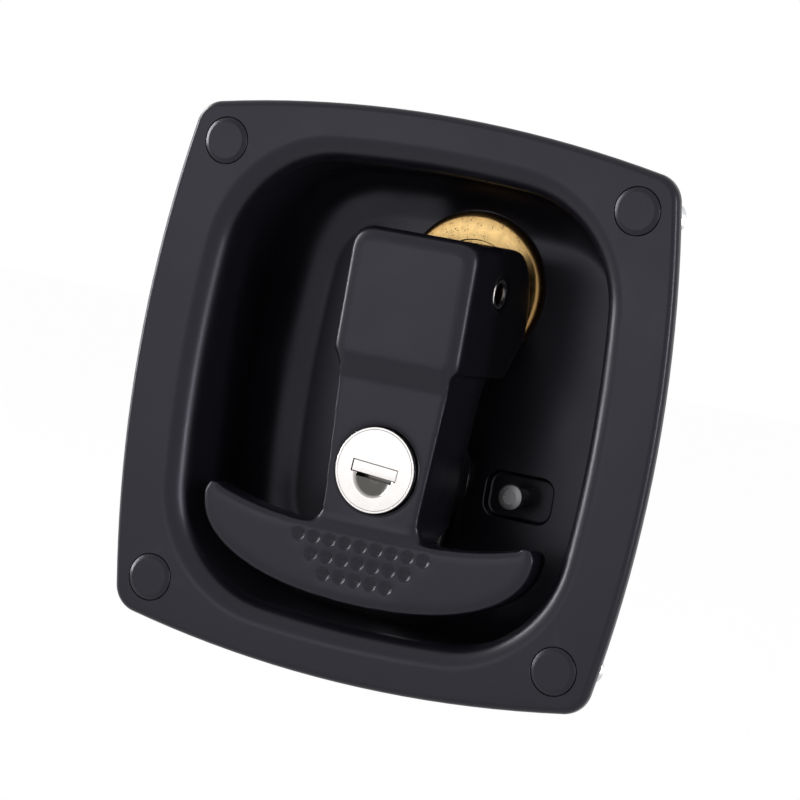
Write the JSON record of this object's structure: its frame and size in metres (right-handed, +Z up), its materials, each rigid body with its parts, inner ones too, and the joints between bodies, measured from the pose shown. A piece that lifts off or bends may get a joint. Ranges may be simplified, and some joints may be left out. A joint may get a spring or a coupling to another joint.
{
  "type": "t-handle compression latch",
  "caption": "Recessed folding T-handle with a key lock; folding out and turning it lets a cam behind the panel move back and swing clear, closing it draws the cam in.",
  "frame": {"origin": "centre of the stud pattern, on the back face of the flange", "axes": "+Z up, +X to the right seen from the user, +Y from the flange into the panel; the handle faces -Y"},
  "size_m": [0.127, 0.0989, 0.127],
  "materials": {
    "black_coat": "black satin powder coat on die-cast zinc",
    "zinc_plate": "bright zinc plate",
    "raw_steel": "plain turned steel",
    "spring_steel": "oiled spring steel",
    "bush_brass": "turned, slightly pitted",
    "wafer_brass": "stamped",
    "lock_nickel": "bright nickel plate"
  },
  "bodies": {
    "housing": {"pan": "black_coat", "mounting_studs": "zinc_plate", "keeper_pin": "raw_steel", "stop_plate": "zinc_plate", "stop_screws": "zinc_plate"},
    "rotor": {"thrust_bush": "bush_brass", "stop_washer": "zinc_plate", "bush_circlip": "spring_steel", "return_spring": "spring_steel"},
    "shaft": {"draw_shaft": "zinc_plate", "spring_cup": "zinc_plate", "latch_cam": "zinc_plate", "cam_washer": "zinc_plate", "cam_nuts": "zinc_plate"},
    "handle": {"t_handle": "black_coat", "pivot_pin": "raw_steel", "lock_barrel": "lock_nickel", "barrel_clip": "spring_steel"},
    "plug": {"lock_plug": "lock_nickel", "wafer_tumblers": "wafer_brass", "tail_cam": "zinc_plate", "tail_screw": "zinc_plate", "shutter_pin": "raw_steel"},
    "shutter": {"slot_shutter": "lock_nickel"}
  },
  "joints": [
    {"name": "shaft_turn", "type": "hinge", "parent": "housing", "child": "rotor", "pos_m": [0, 0, 0.027], "axis": [0, -1, 0], "range_deg": [0, 90]},
    {"name": "shaft_draw", "type": "slide", "parent": "rotor", "child": "shaft", "axis": [0, 1, 0], "range_m": [0, 0.0082], "deforming": ["return_spring"]},
    {"name": "handle_fold", "type": "hinge", "parent": "shaft", "child": "handle", "pos_m": [0, 0.013, 0.027], "axis": [-1, 0, 0], "range_deg": [0, 90]},
    {"name": "lock_turn", "type": "hinge", "parent": "handle", "child": "plug", "pos_m": [0, 0, -0.0158], "axis": [0, -1, 0], "range_deg": [0, 90]},
    {"name": "shutter_tilt", "type": "hinge", "parent": "plug", "child": "shutter", "pos_m": [0.00008, -0.00135, -0.0147], "axis": [0.9976, 0, -0.0698], "range_deg": [0, 70], "stiffness_Nm_per_rad": 0.0002, "springref_deg": -11.46}
  ],
  "couplings": [
    {"joint": "shaft_turn", "follows": "handle_fold", "ratio": 1},
    {"joint": "shaft_draw", "follows": "handle_fold", "m_per_rad": 0.00522}
  ]
}
